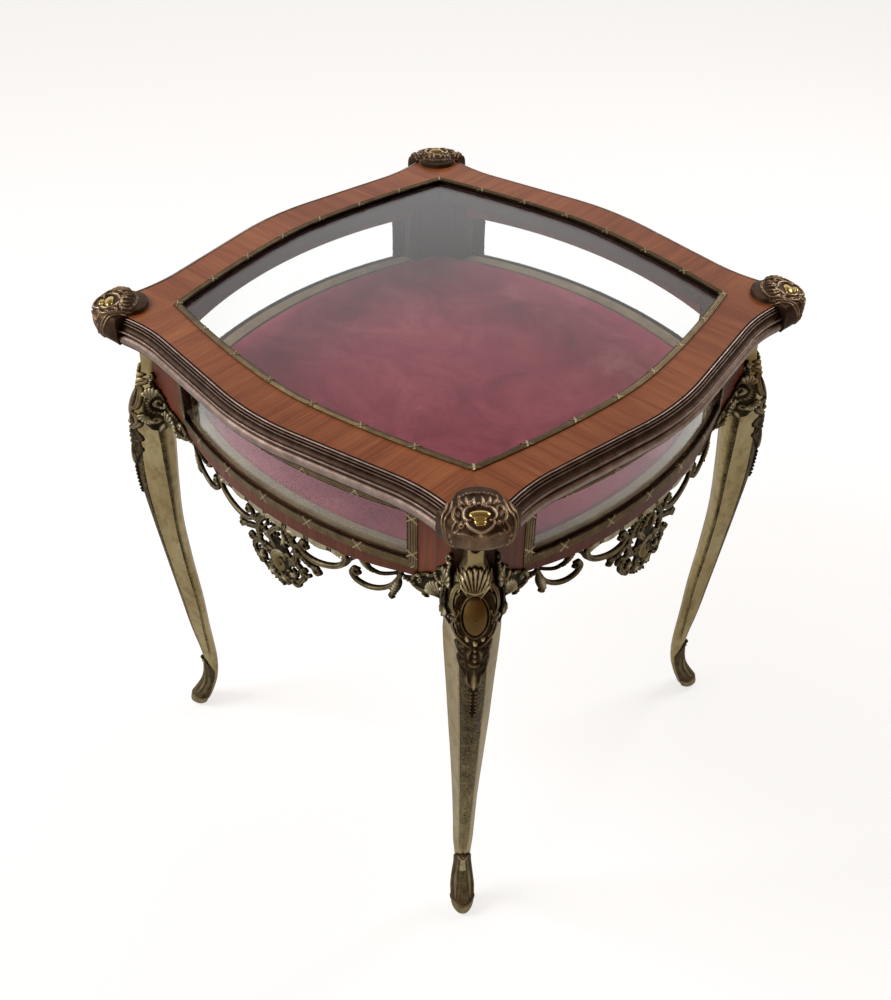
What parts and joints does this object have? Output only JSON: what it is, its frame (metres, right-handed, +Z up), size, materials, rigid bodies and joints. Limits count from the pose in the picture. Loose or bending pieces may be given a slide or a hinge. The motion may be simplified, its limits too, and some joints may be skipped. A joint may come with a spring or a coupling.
{
  "type": "glazed display table",
  "caption": "Square glass-topped display table with a hinged lid, bowed glazed sides, cast cabriole legs and applied scroll mounts.",
  "frame": {"origin": "on the floor under the middle of the table", "axes": "+Z up, -Y towards the front (lock side), +X to the right seen from the front"},
  "size_m": [0.723, 0.723, 0.771],
  "materials": {
    "kingwood_veneer": "crossbanded veneer, waxed to a satin shine",
    "leg_brass": "cast and hand polished, stippled front panels",
    "patinated_brass": "cast relief, dark patina with worn bright edges",
    "bronzed_brass": "drawn moulding, bronzed dark brown, rubbed on the crests",
    "antique_brass": "reeded beading, antique",
    "glass": "clear, polished",
    "velvet": "crushed silk velvet",
    "ledge_cloth": "glued cloth, matt",
    "plywood": "sanded",
    "steel": "machined"
  },
  "bodies": {
    "case": {"bottom_rail_back": "kingwood_veneer", "top_rail_back": "kingwood_veneer", "side_pane_back": "glass", "apron_back": "patinated_brass", "bottom_rail_left": "kingwood_veneer", "top_rail_left": "kingwood_veneer", "side_pane_left": "glass", "apron_left": "patinated_brass", "bottom_rail_front": "kingwood_veneer", "top_rail_front": "kingwood_veneer", "side_pane_front": "glass", "apron_front": "patinated_brass", "bottom_rail_right": "kingwood_veneer", "top_rail_right": "kingwood_veneer", "side_pane_right": "glass", "apron_right": "patinated_brass", "corner_post_back_right": "kingwood_veneer", "leg_back_right": "leg_brass", "sabot_back_right": "patinated_brass", "corner_brackets_back_right": "patinated_brass", "corner_post_back_left": "kingwood_veneer", "leg_back_left": "leg_brass", "sabot_back_left": "patinated_brass", "corner_brackets_back_left": "patinated_brass", "corner_post_front_left": "kingwood_veneer", "leg_front_left": "leg_brass", "sabot_front_left": "patinated_brass", "corner_brackets_front_left": "patinated_brass", "corner_post_front_right": "kingwood_veneer", "leg_front_right": "leg_brass", "sabot_front_right": "patinated_brass", "corner_brackets_front_right": "patinated_brass", "knee_mounts": "patinated_brass", "sabot_pins": "patinated_brass", "side_beading": "antique_brass", "keyhole_plate": "antique_brass", "hinge_case_leaves": "antique_brass", "leg_bolts": "steel", "hinge_pins": "steel", "lock_case": "steel", "ledge_border": "ledge_cloth", "base_board": "plywood", "velvet_pad": "velvet"},
    "lid": {"lid_rail_back": "kingwood_veneer", "lid_rail_left": "kingwood_veneer", "lid_rail_front": "kingwood_veneer", "lid_rail_right": "kingwood_veneer", "lid_moulding_back": "bronzed_brass", "lid_moulding_left": "bronzed_brass", "lid_moulding_front": "bronzed_brass", "lid_moulding_right": "bronzed_brass", "corner_clasp_back_right": "patinated_brass", "corner_clasp_back_left": "patinated_brass", "corner_clasp_front_left": "patinated_brass", "corner_clasp_front_right": "patinated_brass", "lid_pane": "glass", "lid_beading": "antique_brass", "hinge_lid_leaves": "antique_brass", "lid_staple": "steel"},
    "lock_bolt": {"lock_bolt": "steel"}
  },
  "joints": [
    {"name": "lid_hinge", "type": "hinge", "parent": "case", "child": "lid", "pos_m": [0, 0.337, 0.724], "axis": [-1, 0, 0], "range_deg": [0, 90]},
    {"name": "lock_slide", "type": "slide", "parent": "case", "child": "lock_bolt", "axis": [-1, 0, 0], "range_m": [0, 0.007]}
  ]
}
